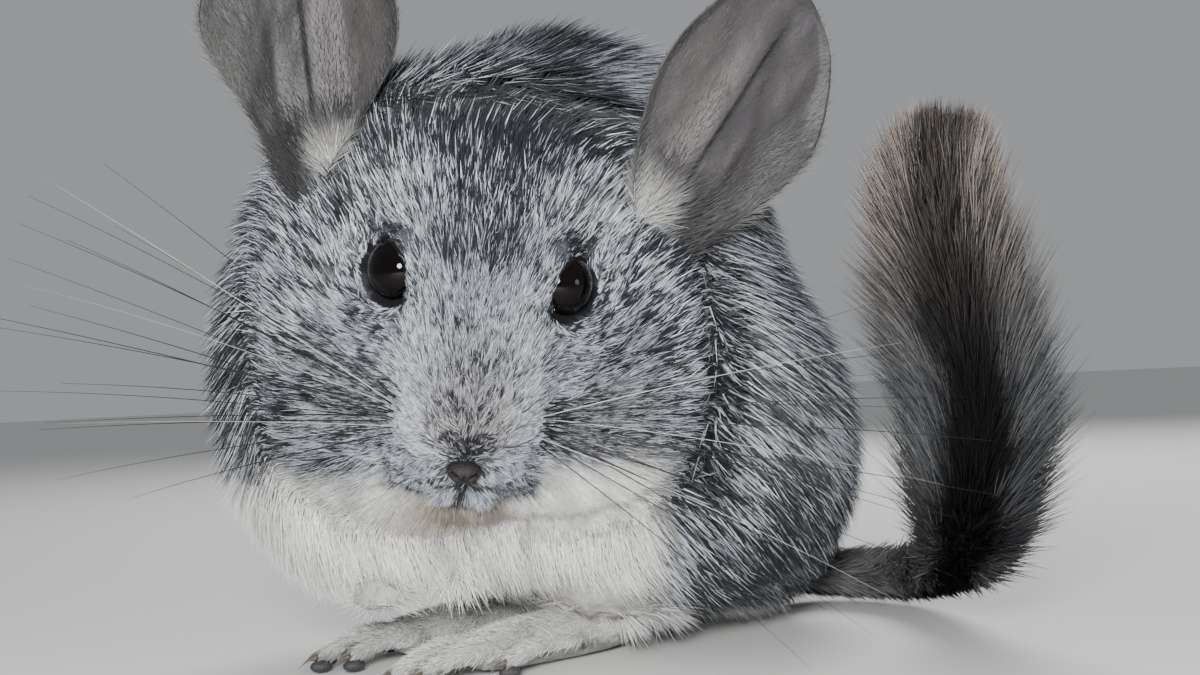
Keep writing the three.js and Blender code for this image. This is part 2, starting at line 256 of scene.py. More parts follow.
def joined(name, pieces):
    bpy.ops.object.select_all(action="DESELECT")
    for piece in pieces:
        piece.select_set(True)
    bpy.context.view_layer.objects.active = pieces[0]
    bpy.ops.object.join()
    whole = bpy.context.view_layer.objects.active
    whole.name = name
    whole.data.name = name
    whole.select_set(False)
    return whole


# Materials
def material(name, roughness, specular=0.5):
    made = bpy.data.materials.new(name)
    made.use_nodes = True
    nodes, links = made.node_tree.nodes, made.node_tree.links
    shader = nodes["Principled BSDF"]
    shader.inputs["Roughness"].default_value = roughness
    shader.inputs["Specular IOR Level"].default_value = specular
    return made, nodes, links, shader


def grain_group():
    """Fine unevenness of a surface: a mask from 0 to 1 and a bumped normal, at a scale in metres."""
    group = bpy.data.node_groups.new("fine_grain", "ShaderNodeTree")
    for name, kind in (("Scale", "NodeSocketFloat"), ("Depth", "NodeSocketFloat")):
        group.interface.new_socket(name, in_out="INPUT", socket_type=kind)
    group.interface.new_socket("Mask", in_out="OUTPUT", socket_type="NodeSocketFloat")
    group.interface.new_socket("Normal", in_out="OUTPUT", socket_type="NodeSocketVector")
    nodes, links = group.nodes, group.links
    given, out = nodes.new("NodeGroupInput"), nodes.new("NodeGroupOutput")
    place = nodes.new("ShaderNodeTexCoord")
    cloud = nodes.new("ShaderNodeTexNoise")
    cloud.inputs["Detail"].default_value = 6
    bump = nodes.new("ShaderNodeBump")
    bump.inputs["Distance"].default_value = 0.0004
    links.new(place.outputs["Object"], cloud.inputs["Vector"])
    links.new(given.outputs["Scale"], cloud.inputs["Scale"])
    links.new(given.outputs["Depth"], bump.inputs["Strength"])
    links.new(cloud.outputs["Fac"], bump.inputs["Height"])
    links.new(cloud.outputs["Fac"], out.inputs["Mask"])
    links.new(bump.outputs["Normal"], out.inputs["Normal"])
    return group


GRAIN = grain_group()


def grain(nodes, scale, depth):
    made = nodes.new("ShaderNodeGroup")
    made.node_tree = GRAIN
    made.inputs["Scale"].default_value = scale
    made.inputs["Depth"].default_value = depth
    return made


def ramp(nodes, links, source, stops):
    made = nodes.new("ShaderNodeValToRGB")
    elements = made.color_ramp.elements
    while len(elements) < len(stops):
        elements.new(0.5)
    for element, (place, color) in zip(elements, stops):
        element.position = place
        element.color = (*color, 1)
    links.new(source, made.inputs["Fac"])
    return made.outputs["Color"]


def painted_material(name, roughness, grain_scale, depth, low=0.8, high=1.15, specular=0.5):
    """A surface whose colour is painted on its points, with a fine grain in colour and relief."""
    made, nodes, links, shader = material(name, roughness, specular)
    paint = nodes.new("ShaderNodeAttribute")
    paint.attribute_name = COLOR_LAYER
    speck = grain(nodes, grain_scale, depth)
    shades = ramp(nodes, links, speck.outputs["Mask"], [(0.3, (low,) * 3), (0.7, (high,) * 3)])
    both = nodes.new("ShaderNodeMix")
    both.data_type = "RGBA"
    both.blend_type = "MULTIPLY"
    both.inputs["Factor"].default_value = 1
    links.new(paint.outputs["Color"], both.inputs["A"])
    links.new(shades, both.inputs["B"])
    links.new(both.outputs["Result"], shader.inputs["Base Color"])
    if depth > 0:
        links.new(speck.outputs["Normal"], shader.inputs["Normal"])
    return made


def plain_material(name, dark, light, roughness, grain_scale, depth, specular=0.5):
    made, nodes, links, shader = material(name, roughness, specular)
    speck = grain(nodes, grain_scale, depth)
    shades = ramp(nodes, links, speck.outputs["Mask"], [(0.3, dark), (0.7, light)])
    links.new(shades, shader.inputs["Base Color"])
    links.new(speck.outputs["Normal"], shader.inputs["Normal"])
    return made


COAT = painted_material("coat_hair", 0.55, 900, 0, specular=0.3)
SKIN = painted_material("skin_under_coat", 0.8, 600, 0.4, specular=0.05)
EAR = painted_material("ear_leather", 0.55, 1500, 0.35, 0.85, 1.1)
WHISKER = painted_material("whisker_bristle", 0.35, 400, 0)
LID = plain_material("eyelid_skin", (0.004, 0.0035, 0.0035), (0.01, 0.008, 0.008), 0.6, 2500, 0.3, 0.08)
NOSE_SKIN = plain_material("nose_skin", (0.006, 0.005, 0.005), (0.02, 0.015, 0.015), 0.5, 3200, 0.6, 0.25)
PAW_PAD = plain_material("paw_pad_skin", (0.02, 0.018, 0.019), (0.05, 0.044, 0.045), 0.6, 2500, 0.8)
CLAW = plain_material("claw_horn", (0.05, 0.04, 0.034), (0.15, 0.12, 0.1), 0.35, 2000, 0.2)
EYE = plain_material("eye_gloss", (0.0015, 0.001, 0.001), (0.003, 0.002, 0.002), 0.04, 300, 0, 0.16)


# Markings and painted shade: the colour of the coat at a place on the skin
SLATE = np.array([0.022, 0.024, 0.029])
SILVER = np.array([0.62, 0.665, 0.72])
WHITE = np.array([0.9, 0.885, 0.85])
BEIGE = np.array([0.56, 0.48, 0.37])
BLACK = np.array([0.005, 0.005, 0.006])
# Dark pinkish lip skin for the mouth's line, darkened further as painted shade in its slit
MOUTH_SKIN_AND_SHADE = np.array([0.1, 0.06, 0.05])
RUFF_MIDDLE, RUFF_HALF_WIDTH, RUFF_BELOW, RUFF_ABOVE = 79, 44, 45, 36
FACING = np.array([math.sin(math.radians(HEAD_TURN)), -math.cos(math.radians(HEAD_TURN)), 0])
ACROSS = np.array([math.cos(math.radians(HEAD_TURN)), math.sin(math.radians(HEAD_TURN)), 0])


def ruff(points):
    """1 along the edge of the ruff that frames the face, less inside it; and how far back a place is."""
    off = points - HEAD_AT
    wide = np.abs(off @ ACROSS) / RUFF_HALF_WIDTH
    rise = points[:, 2] - RUFF_MIDDLE
    high = np.abs(rise) / np.where(rise < 0, RUFF_BELOW, RUFF_ABOVE)
    return (wide ** 3.5 + high ** 3.5) ** (1 / 3.5), -(off @ FACING)


def crease(points):
    """How deep a place lies in the crease behind the ruff, from 0 to 1."""
    edge, back = ruff(points)
    left = mix(0.2, 1, smooth((points - HEAD_AT) @ ACROSS, -20, 15))
    top = mix(1, 0.45, smooth(points[:, 2], 95, 108))
    fade = fall(back, 22, 45) * left * top
    return bell((edge - 1.06 + 0.03 * noise(points / 7, 23)) / 0.07) * fade


def whiteness(points):
    """How white the coat is: the chest and belly below the ruff, the throat and the underside."""
    edge, _ = ruff(points)
    wobble = 2.5 * noise(points / 8, 41)
    front = fall(points[:, 1] + wobble, -9, -2)
    below = smooth(edge + 0.012 * wobble, 0.93, 1.03) * fall(points[:, 2] + wobble, 43, 50)
    under = fall(points[:, 2] + wobble, 7, 14)
    x, y, z = to_head(points).T
    wide = np.abs(x)
    upper_lip = fall(wide, 12, 17) * smooth(z, -38.6, -37)
    throat = 0.95 * smooth(0.6 * wobble - points[:, 2], -47, -40) * (1 - upper_lip)
    throat *= fall(y, 2, 14) * fall(wide, 33, 42)
    return np.clip(np.maximum(np.maximum(front * below, under), throat), 0, 1)


def chin(points):
    """The beige of the chin and of the throat under it."""
    x, y, z = to_head(points).T
    under = smooth(-z, 37.8, 39.4) * fall(-z, 44, 50)
    return under * np.exp(-((x / 9) ** 4)) * fall(y, -12, -2)


def mouth(points):
    """How near a place is to the line of the mouth, from 0 to 1."""
    x, y, z = to_head(points).T
    line = -37.6 + 0.016 * x ** 2
    front = fall(np.abs(x), 6, 9) * fall(y, -18, -12)
    return bell((z - line) / 0.6) * front


def lips(points):
    """The pale pads of the upper lip, and the groove and slits that part them from the nose, where the coat
    is darkened as painted shade.
    """
    x, y, z = to_head(points).T
    wide = np.abs(x)
    front = fall(y, -24, -18)
    pad = bell((wide - 3.4) / 3.4, (z + 32.8) / 3.0) * front
    groove = bell(x / 0.5) * smooth(-z, 26, 27.5) * fall(-z, 34, 36)
    slit_line = -28.8 + 0.035 * wide ** 2
    slit = bell((z - slit_line) / 0.55) * fall(wide, 4.8, 6.6)
    return pad, np.maximum(groove, slit) * front


def in_bands(far, way, band, turns, seed):
    """Noise in bands round the nose: how long a band is along the lie, and how many cells across it."""
    return noise(np.concatenate([column(far / band), unit(way) * turns], 1), seed)


def tones(points, clump):
    """How much of the coat shows its light bands, from 0 to 1: bands across its lie, clumps, markings, and
    painted shade in the crease behind the ruff, on the lower rear flank and in the grooves of the lip.
    """
    h = to_head(points)
    x, y, z = h.T
    wide = np.abs(x)
    way = h - NOSE
    far = np.linalg.norm(way, axis=1)
    cheek = bell((far - 33) / 13) * smooth(-z, 4, 14)
    strength = smooth(far, 30, 60) + 0.35 * cheek
    waves, coarse = in_bands(far, way, 2.3, 9, 3), in_bands(far, way, 5.5, 5, 4)
    turns = 2 ** np.round(np.log2(np.maximum(far, 6) / 0.55))
    streaks = in_bands(far, way, 1.9, column(turns), 6)
    middle_face = fall(wide, 9, 15) * smooth(z, -24, -16) * fall(z, 0, 9)
    value = 0.49 + 0.26 * middle_face + (0.42 * waves + 0.18 * coarse) * strength
    value = value + 0.1 * noise(points / 12, 5) + 0.2 * (clump - 0.5)
    value += 0.75 * streaks * fall(far, 60, 85)

    crown = smooth(z, 2, 16) * fall(wide, 10, 26)
    nape = bell((points[:, 2] - 114) / 7) * fall(np.abs((points - HEAD_AT) @ ACROSS), 18, 34)
    stripe = bell((x - 2.5 - 0.1 * y) / 4) * smooth(z, 9, 17)
    muzzle = fall(far, 14, 27) * fall(wide, 5, 11) * smooth(z, -23, -19)
    above_eye = bell((wide - 21) / 4, (z - 7) / 4, (y - 1) / 6)
    dark_nose = fall(far, 3, 7) * smooth(z, -29, -25) * fall(wide, 2.5, 5.5)
    value -= 0.28 * crown + 0.3 * nape + 0.22 * stripe + 0.12 * muzzle + 0.4 * above_eye + 0.35 * dark_nose
    # Darker lower rear flank and darker crease behind the ruff: partly the darker fur there, partly painted
    # shade
    low_flank_fur_and_shade = fall(points[:, 2], 20, 52) * smooth(points[:, 1], -4, 16)
    value -= 0.35 * crease(points) + 0.02 * smooth(far, 75, 120) + 0.4 * low_flank_fur_and_shade

    brow = bell((np.abs(x + 1) - 13) / 4.5, (z - 10) / 4.5, (y - 1) / 9)
    behind = bell((wide - 25) / 5, (z + 1) / 4, (y - 6) / 6)
    pad, groove = lips(points)
    whisker_pad = bell((wide - 9.5) / 4.5, (z + 24) / 6) * fall(y, -20, -8)
    # The groove and slits of the lip are darkened as painted shade
    value += 0.32 * brow + 0.05 * cheek + 0.3 * behind + 0.5 * np.maximum(pad, whisker_pad) - 0.9 * groove
    return np.clip(value, 0.06, 0.94)


def coat_colors(points, clump, single):
    """Root, middle and tip colours of each tuft from its root's place."""
    h = to_head(points)
    far = np.linalg.norm(h - NOSE, axis=1)
    value = tones(points, clump)
    soft = smooth(far, 70, 95)
    light = smooth(single, 0.86 - 0.1 * soft - value, 1.14 + 0.1 * soft - value)
    glint = np.random.default_rng(11).random(len(points))
    shine = mix(0.2 + 0.98 * glint, 0.5 + 0.4 * glint, soft)
    banded = mix(SLATE, SILVER, column(light * shine))
    muzzle = fall(far, 10, 28) * fall(np.abs(h[:, 0]), 5, 13) * smooth(h[:, 2], -23, -19)
    banded = banded * mix(np.ones(3), np.array([0.82, 0.76, 0.72]), column(muzzle))
    below_lip = chin(points)
    white = column(np.maximum(whiteness(points), below_lip))
    white_shine = mix(0.78, 0.6, below_lip) + mix(0.27, 0.6, below_lip) * glint
    # Painted shade between the locks of the white coat: streaks of darker and lighter white
    lock_shade = noise(points / np.array([2.4, 2.4, 8]), 51) + 0.6 * noise(points / np.array([6, 6, 14]), 52)
    pale = mix(WHITE, BEIGE * 0.72, column(below_lip))
    pale = pale * column(white_shine * (0.93 + 0.3 * np.minimum(lock_shade, 0.3)))
    tip = mix(banded, pale, white)
    # The white coat is darker at its roots and middles than at its tips: painted shade deep in the coat
    middle = mix(banded * 0.6, pale * 0.8, white)
    root = mix(SLATE * 0.8 + banded * 0.05, pale * column(mix(0.4, 0.6, below_lip)), white)
    ticked = column((glint < 0.22) * (1 - white[:, 0]) * smooth(far, 30, 60))
    tip = mix(tip, SLATE * 0.8, ticked)
    # The line of the mouth: dark lip skin, and painted shade in the slit of the mouth
    line = column(mouth(points))
    return tuple(mix(shade, MOUTH_SKIN_AND_SHADE, line) for shade in (root, middle, tip))


# The lie, the length and the lift of the coat at a place on the skin
def along_face(points):
    """The distance from the nose over the face, counted on at once beyond the edge of the ruff."""
    far = np.linalg.norm(to_head(points) - NOSE, axis=1)
    edge, _ = ruff(points)
    beyond = smooth(edge, 0.97, 1.08) * smooth(far, 24, 36) * fall(points[:, 2], 90, 100)
    return mix(far, np.maximum(far, 95), beyond)


def ruff_fringe(points):
    """Where the coat at the lower edge of the ruff hangs over the chest, from 0 to 1."""
    edge, _ = ruff(points)
    return smooth(edge, 0.8, 0.95) * fall(edge, 1.0, 1.06) * fall(points[:, 2], 55, 75)


def coat_length(points):
    far = along_face(points)
    length = np.interp(far, [0, 5, 12, 25, 41, 58, 75, 95], [1.0, 1.6, 2.3, 3.1, 4.3, 6.5, 9.5, 11.5])
    length = length * (1 + 0.1 * whiteness(points) * smooth(far, 35, 60)) * (1 - 0.5 * mouth(points))
    length = length + 3.0 * ruff_fringe(points)
    return length * (1 - 0.6 * round_an_eye(points))


def coat_lift(points):
    far = along_face(points)
    lift = np.radians(np.interp(far, [0, 25, 45, 70, 95], [24, 25, 32, 42, 45]))
    return lift * (1 - 0.3 * whiteness(points)) * (1 - 0.3 * chin(points))


def coat_width(points):
    far = along_face(points)
    width = np.interp(far, [0, 15, 41, 60, 95], [0.24, 0.27, 0.3, 0.34, 0.39])
    return width * (1 - 0.4 * whiteness(points))


def coat_depth(points):
    return coat_length(points) * np.sin(coat_lift(points)) * 0.9


def eye_centre(side):
    return np.array([side * EYE_SPREAD, 0.0, 0.0])


def eye_look(side):
    angle = math.radians(EYE_LOOK)
    return unit(np.array([side * math.cos(angle), -math.sin(angle), 0.05]))


def off_eye(points, side):
    """How far places lie from an eye's centre, and at what angle from the way it looks."""
    off = to_head(points) - eye_centre(side)
    return np.linalg.norm(off, axis=1), np.degrees(np.arccos(np.clip(unit(off) @ eye_look(side), -1, 1)))


def round_an_eye(points):
    """1 at the edge of the lids, fading outward."""
    near = np.zeros(len(points))
    for side, _ in SIDES:
        far, angle = off_eye(points, side)
        near = np.maximum(near, fall(angle, OPENING + 4, OPENING + 34) * fall(far, 10, 17))
    return near


def coat_lie(points, normals):
    """The way the coat lies: back from the nose, parting round the eyes, then back and down the body."""
    h = to_head(points)
    way = unit(h - (NOSE + np.array([0, 6, 0])))
    for side, _ in SIDES:
        off = h - eye_centre(side)
        out = off @ eye_look(side)
        off = off - column(out) * eye_look(side)
        near = np.linalg.norm(off, axis=1)
        across = unit(off)
        share = np.clip((LID_REACH / np.maximum(near, LID_REACH)) ** 2, 0, 1) * smooth(out, -8, -1)
        way = way * column(1 + share) - across * column(2 * share * dot(way, across))
        way = unit(way + across * column(0.35 * share))
    face = unit(way) @ HEAD.T
    body = unit(np.stack([points[:, 0] / 100, 0.55 + 0 * points[:, 0], -0.8 + 0 * points[:, 0]], 1))
    share = smooth(along_face(points), 52, 95)
    pale = column(share * whiteness(points))
    whole = mix(face, body, column(share)) + np.array([0, -0.2, -0.6]) * pale
    return laid_flat(whole, normals)


# Spreading roots over a surface, evenly by its area times a weight
def surface_of(piece):
    mesh = piece.data
    mesh.calc_loop_triangles()
    corners = np.zeros(len(mesh.loop_triangles) * 3, np.int32)
    mesh.loop_triangles.foreach_get("vertices", corners)
    return points_of(piece), normals_of(piece), corners.reshape(-1, 3)


def scattered(surface, count, weight):
    points, normals, triangles = surface
    a, b, c = (points[triangles[:, k]] for k in range(3))
    area = np.linalg.norm(np.cross(b - a, c - a), axis=1) / 2
    share = area * weight((a + b + c) / 3)
    cells = np.floor((a + b + c) / 3 / 4).astype(np.int64)
    order = np.lexsort((hashed(cells, 2), cells[:, 0], cells[:, 1], cells[:, 2]))
    total = np.cumsum(share[order])
    picks = (np.arange(count) + rng.random(count)) / count * total[-1]
    chosen = triangles[order[np.minimum(np.searchsorted(total, picks), len(order) - 1)]]
    u, v = rng.random(count), rng.random(count)
    over = u + v > 1
    u[over], v[over] = 1 - u[over], 1 - v[over]
    parts = np.stack([1 - u - v, u, v], 1)
    roots = (points[chosen] * parts[:, :, None]).sum(1)
    ways = unit((normals[chosen] * parts[:, :, None]).sum(1))
    return roots, ways


# Tufts: thin closed spindles, bent at their widest part; hairs: straight spikes of three sides
TUFT_FACES = np.array([[0, 2, 1], [0, 3, 2], [0, 1, 3], [4, 1, 2], [4, 2, 3], [4, 3, 1]])
HAIR_FACES = np.array([[0, 1, 2], [1, 0, 3], [2, 1, 3], [0, 2, 3]])


def turned(lie, normals, angle):
    return lie * column(np.cos(angle)) + np.cross(normals, lie) * column(np.sin(angle))


def raised(lie, normals, angle):
    return lie * column(np.cos(angle)) + normals * column(np.sin(angle))


def tuft_piece(name, roots, normals, lie, length, width, lift, colors, uv, bend=0.3, sink=0.6):
    """One mesh of bent tufts: five points and six faces each."""
    side = unit(np.cross(normals, lie))
    start = raised(lie, normals, lift + bend)
    onward = raised(lie, normals, lift - bend)
    foot = roots - normals * sink
    bent = foot + start * column(length * 0.45)
    half = column(width / 2)
    rise = unit(np.cross(side, start))
    tip = bent + onward * column(length * 0.6)
    rows = np.stack([foot, bent - side * half, bent + side * half, bent - rise * half * 0.9, tip], 1)
    faces = (TUFT_FACES[None] + (np.arange(len(roots)) * 5)[:, None, None]).reshape(-1, 3)
    piece = mesh_piece(name, rows.reshape(-1, 3), faces, COAT, rounded=False)
    root_color, middle_color, tip_color = colors
    shades = np.stack([root_color, middle_color, middle_color, middle_color, tip_color], 1)
    set_colors(piece, shades.reshape(-1, 3))
    patch = np.array([[1.5, 0], [0, 1.4], [3, 1.4], [1.5, 1.1], [1.5, 3]]) * 0.001
    set_map(piece, (uv[:, None, :] + patch[None]).reshape(-1, 2))
    return piece


def hair_piece(name, roots, normals, lie, length, width, lift, colors, uv, sink=0.3):
    """One mesh of straight short hairs: four points and four faces each."""
    root_color, middle_color, tip_color = colors
    side = unit(np.cross(normals, lie))
    onward = raised(lie, normals, lift)
    foot = roots - normals * column(np.minimum(sink, 0.07 * length))
    half = column(width / 2)
    rows = np.stack([
        foot - side * half, foot + side * half,
        foot - unit(np.cross(side, onward)) * half * 1.1, foot + onward * column(length),
    ], 1)
    count = len(roots)
    faces = (HAIR_FACES[None] + (np.arange(count) * 4)[:, None, None]).reshape(-1, 3)
    piece = mesh_piece(name, rows.reshape(-1, 3), faces, COAT, rounded=False)
    base = mix(root_color, middle_color, 0.45)
    set_colors(piece, np.stack([base, base, base, tip_color], 1).reshape(-1, 3))
    patch = np.array([[0, 0], [3, 0], [1.5, 0.8], [1.5, 3]]) * 0.001
    set_map(piece, (uv[:, None, :] + patch[None]).reshape(-1, 2))
    return piece


def round_map(points, centre):
    """An unwrap of a rounded form seen from inside: its place as an angle round and an angle up."""
    way = unit(points - centre)
    u = np.arctan2(way[:, 1], way[:, 0]) / (2 * np.pi) + 0.5
    v = np.arcsin(np.clip(way[:, 2], -1, 1)) / np.pi + 0.5
    return np.stack([u, v], 1) * 0.99 + 0.002


# The tail's line, as a smooth curve through its points
def tail_curve(steps=400):
    line = np.array(TAIL_LINE, float)
    ends = np.concatenate([[2 * line[0] - line[1]], line, [2 * line[-1] - line[-2]]])
    rows = []
    for k in range(1, len(ends) - 2):
        for t in np.arange(0, 1, 1 / 40):
            a, b, c, d = ends[k - 1:k + 3]
            rows.append(0.5 * (2 * b + (c - a) * t + (2 * a - 5 * b + 4 * c - d) * t * t
                               + (3 * b - a - 3 * c + d) * t ** 3))
    rows = np.array(rows + [line[-1]])
    gone = np.concatenate([[0], np.cumsum(np.linalg.norm(np.diff(rows, axis=0), axis=1))])
    places = np.linspace(0, gone[-1], steps)
    even = np.stack([np.interp(places, gone, rows[:, axis]) for axis in range(3)], 1)
    return even, gone[-1]


TAIL, TAIL_LENGTH = tail_curve()
TAIL_AHEAD = unit(np.gradient(TAIL, axis=0))
TAIL_UP = np.array([0.1, -0.9, -0.45])


def on_tail(along):
    """Points of the tail's line, its direction there, and two directions across it."""
    place = np.clip(along, 0, 1) * (len(TAIL) - 1)
    cell = np.minimum(place.astype(int), len(TAIL) - 2)
    part = column(place - cell)
    point = mix(TAIL[cell], TAIL[cell + 1], part)
    ahead = unit(mix(TAIL_AHEAD[cell], TAIL_AHEAD[cell + 1], part))
    across = unit(np.cross(ahead, TAIL_UP))
    over = np.cross(across, ahead)
    return point, ahead, across, over


# Faces of grids, and closed tubes along a path
def grid_faces(rows, columns, closed_rows=False, closed_columns=True):
    faces = []
    for r in range(rows if closed_rows else rows - 1):
        for c in range(columns if closed_columns else columns - 1):
            a = r * columns + c
            b = r * columns + (c + 1) % columns
            up = ((r + 1) % rows) * columns
            faces += [(a, b, up + (c + 1) % columns), (a, up + (c + 1) % columns, up + c)]
    return np.array(faces)


def tube(path, across, over, radius, sides):
    """The points and faces of a round tube, its ends closed to a point of their own."""
    turn = np.linspace(0, 2 * np.pi, sides, endpoint=False)
    ring = (path[:, None] + (across[:, None] * np.cos(turn)[None, :, None]
            + over[:, None] * np.sin(turn)[None, :, None]) * radius[:, None, None])
    near = np.arange(sides)
    after = (near + 1) % sides
    last = (len(path) - 1) * sides
    end = np.full(sides, len(path) * sides)
    caps = [np.stack([near, end, after], 1), np.stack([last + near, last + after, end + 1], 1)]
    points = np.concatenate([ring.reshape(-1, 3), path[:1], path[-1:]])
    return points, np.concatenate([grid_faces(len(path), sides), *caps])


def gathered(tubes):
    """The points and faces of several tubes as one set."""
    starts = np.cumsum([0] + [len(points) for points, _ in tubes])
    faces = [faces + start for (_, faces), start in zip(tubes, starts)]
    return np.concatenate([points for points, _ in tubes]), np.concatenate(faces)


TAIL_TUBE = 3.6


def tail_tube():
    along = np.linspace(0, 0.985, 90)
    point, _, across, over = on_tail(along)
    radius = TAIL_TUBE * np.sqrt(1 - np.clip((along - 0.7) / 0.3, 0, 1) ** 2 * 0.8)
    points, faces = tube(point, across, over, radius, 14)
    return mesh_piece("tail_tube", points, faces[:, ::-1], SKIN)


# The skin: copies of the solids of flesh, fused, smoothed and drawn in by the coat's depth
def copies_of(nodes, name):
    made = []
    for node in nodes:
        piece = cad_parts[node].copy()
        piece.data = piece.data.copy()
        piece.parent = None
        for key in [key for key in piece.keys() if key.startswith("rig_")]:
            del piece[key]
        bpy.context.scene.collection.objects.link(piece)
        made.append(piece)
    whole = joined(name, made)
    whole.data.materials.clear()
    whole.data.materials.append(SKIN)
    shape = bmesh.new()
    shape.from_mesh(whole.data)
    bmesh.ops.remove_doubles(shape, verts=shape.verts, dist=1e-6)
    shape.to_mesh(whole.data)
    shape.free()
    return whole


def fused(piece, swell, voxel):
    if swell > 0:
        grow = piece.modifiers.new("swell", "DISPLACE")
        grow.strength = swell * MM
        grow.mid_level = 0
    remesh = piece.modifiers.new("fuse", "REMESH")
    remesh.mode = "VOXEL"
    remesh.voxel_size = voxel * MM
    apply_all(piece)
    return piece


def relaxed(piece, share, times, back=0.52):
    """Smooths a piece: share is how much at each point, back how much of the shrinking is undone."""
    edges = np.zeros(len(piece.data.edges) * 2, np.int32)
    piece.data.edges.foreach_get("vertices", edges)
    a, b = edges.reshape(-1, 2).T
    points = points_of(piece)
    count = column(np.bincount(a, minlength=len(points)) + np.bincount(b, minlength=len(points)))
    for step in range(times):
        total = np.stack([
            np.bincount(a, weights=points[b, axis], minlength=len(points))
            + np.bincount(b, weights=points[a, axis], minlength=len(points)) for axis in range(3)
        ], 1)
        force = 0.5 if step % 2 == 0 else -back
        points = points + column(share) * force * (total / np.maximum(count, 1) - points)
    move_points(piece, points)


SOFT_FORMS = {
    "bridge": (np.array([1.0, -27.0, -21.0]), np.array([4.6, 4.6, 4.8])),
    "pad": (PAD, PAD_SIZE),
    "lip": (np.array([3.3, -24.6, -32.6]), np.array([4.8, 4.8, 4.9])),
    "jowl": (np.array([8.6, -19.2, -30.6]), np.array([7.4, 7.2, 6.8])),
    "chin": (np.array([1.5, -17.4, -41.0]), np.array([7.0, 6.0, 5.4])),
}


def soft_forms():
    """The whisker pads, the lips and the chin, as rounded forms to be fused with the head."""
    made = []
    for name, (place, size) in SOFT_FORMS.items():
        for side, word in SIDES:
            bpy.ops.mesh.primitive_uv_sphere_add(segments=24, ring_count=16, radius=1)
            form = bpy.context.active_object
            form.name = f"{name}_{word}"
            move_points(form, from_head(ball_of(form) * size + place * np.array([side, 1, 1])))
            made.append(form)
    return made


FLESH = [
    "head", "lower_jaw", "neck", "torso", "haunch_left", "haunch_right", "foreleg_left", "foreleg_right",
]
HIND_FEET = ["hind_foot_left", "hind_foot_right"]
TAIL_NODES = ["tail_root", "tail_bend", "tail_brush"]


def round_the_eyes(points):
    """Lays the skin round each eyeball as a shallow bowl, and under its open part."""
    for side, _ in SIDES:
        far, angle = off_eye(points, side)
        near = EYE_RADIUS + 0.3
        bowl = mix(near, np.maximum(far, near), smooth(angle, OPENING + 2, OPENING + 11))
        target = mix(EYE_RADIUS - 1.2, bowl, smooth(angle, OPENING - 4, OPENING))
        target = mix(target, far, smooth(far, 8.5, 12))
        centre = eye_centre(side)
        points = from_head(centre + unit(to_head(points) - centre) * column(target))
    return points


def drawn_in(piece, steps=6):
    """Draws the skin in by its coat's depth, a little at a time, so that small forms don't fold."""
    for _ in range(steps):
        points = points_of(piece)
        depth = coat_depth(points) + 0.3 + 4 * crease(points)
        move_points(piece, points - normals_of(piece) * column(depth / steps))
        relaxed(piece, smooth(along_face(points), 45, 80), 6)


def make_skin():
    trunk = fused(joined("trunk", [copies_of(FLESH, "trunk"), *soft_forms()]), 0.35, 1.3)
    points = points_of(trunk)
    relaxed(trunk, mix(0.35, 1.0, smooth(along_face(points), 45, 80)), 50)
    x, y, z = to_head(points_of(trunk)).T
    wide = np.abs(x)
    beside = smooth(wide, 5, 9) * fall(wide, 22, 28) * fall(z, -8, -2) * fall(y, 0, 8)
    relaxed(trunk, beside * smooth(z, -36, -33), 60, back=0)
    drawn_in(trunk)
    points = points_of(trunk)
    lowest = mix(15.0, 0.3, smooth(points[:, 1], -14, -2))
    points[:, 2] = np.maximum(points[:, 2], lowest)
    points -= normals_of(trunk) * column(0.4 * mouth(points))
    move_points(trunk, round_the_eyes(points))
    feet = fused(copies_of(HIND_FEET, "feet"), 0.0, 0.8)
    relaxed(feet, np.ones(len(feet.data.vertices)), 6)
    points = points_of(feet)
    toes = fall(points[:, 1], -42, -34)
    points = points - normals_of(feet) * column(0.5 + 0.5 * toes + 2 * smooth(points[:, 2], 12, 20))
    points[:, 2] = np.where(points[:, 2] > 12, 12 + 0.3 * (points[:, 2] - 12), points[:, 2])
    move_points(feet, points)
    return trunk, feet, tail_tube()


def skin_colors(piece):
    points = points_of(piece)
    even = np.full(len(points), 0.5)
    root, middle, _ = coat_colors(points, even, even)
    shade = mix(root, middle, column(mix(0.55, 0.12, smooth(along_face(points), 12, 45))))
    for side, _ in SIDES:
        far, angle = off_eye(points, side)
        bare = fall(angle, OPENING + 4, OPENING + 9) * fall(far, 8.5, 10)
        shade = mix(shade, BLACK * 1.5, column(bare))
    return shade


# Eyes, lids, nose
def ball_of(piece):
    return unit(np.array([v.co for v in piece.data.vertices]))


def dressed(piece, name, material_used):
    piece.name = name
    piece.data.shade_smooth()
    piece.data.materials.append(material_used)
    piece.select_set(False)
    return piece


def outward(piece):
    shape = bmesh.new()
    shape.from_mesh(piece.data)
    bmesh.ops.recalc_face_normals(shape, faces=shape.faces)
    shape.to_mesh(piece.data)
    shape.free()
    return piece


def make_eye(side, word):
    bpy.ops.mesh.primitive_uv_sphere_add(segments=64, ring_count=40, radius=EYE_RADIUS * MM)
    eye = bpy.context.active_object
    flat = np.array([v.co for v in eye.data.vertices]) / MM
    move_points(eye, from_head(flat + eye_centre(side)))
    finish_piece(dressed(eye, f"eyeball_{word}", EYE), "eye", f"eye_{word}")


# Round the lid's cross-section: degrees beyond its opening, and how far it stands off the eyeball
LID_PROFILE = [
    (-1, 0.05), (0.2, 0.3), (1.5, 0.5), (3.2, 0.48), (5.5, 0.25),
    (8.5, -0.3), (12, -0.8), (8, -1.0), (2, -0.9),
]


def opening_angle(turn):
    """Half the opening of the lids, round the eye: longer toward its two corners."""
    return OPENING + 5 * np.cos(turn) ** 2 - 3 * np.maximum(np.sin(turn), 0)


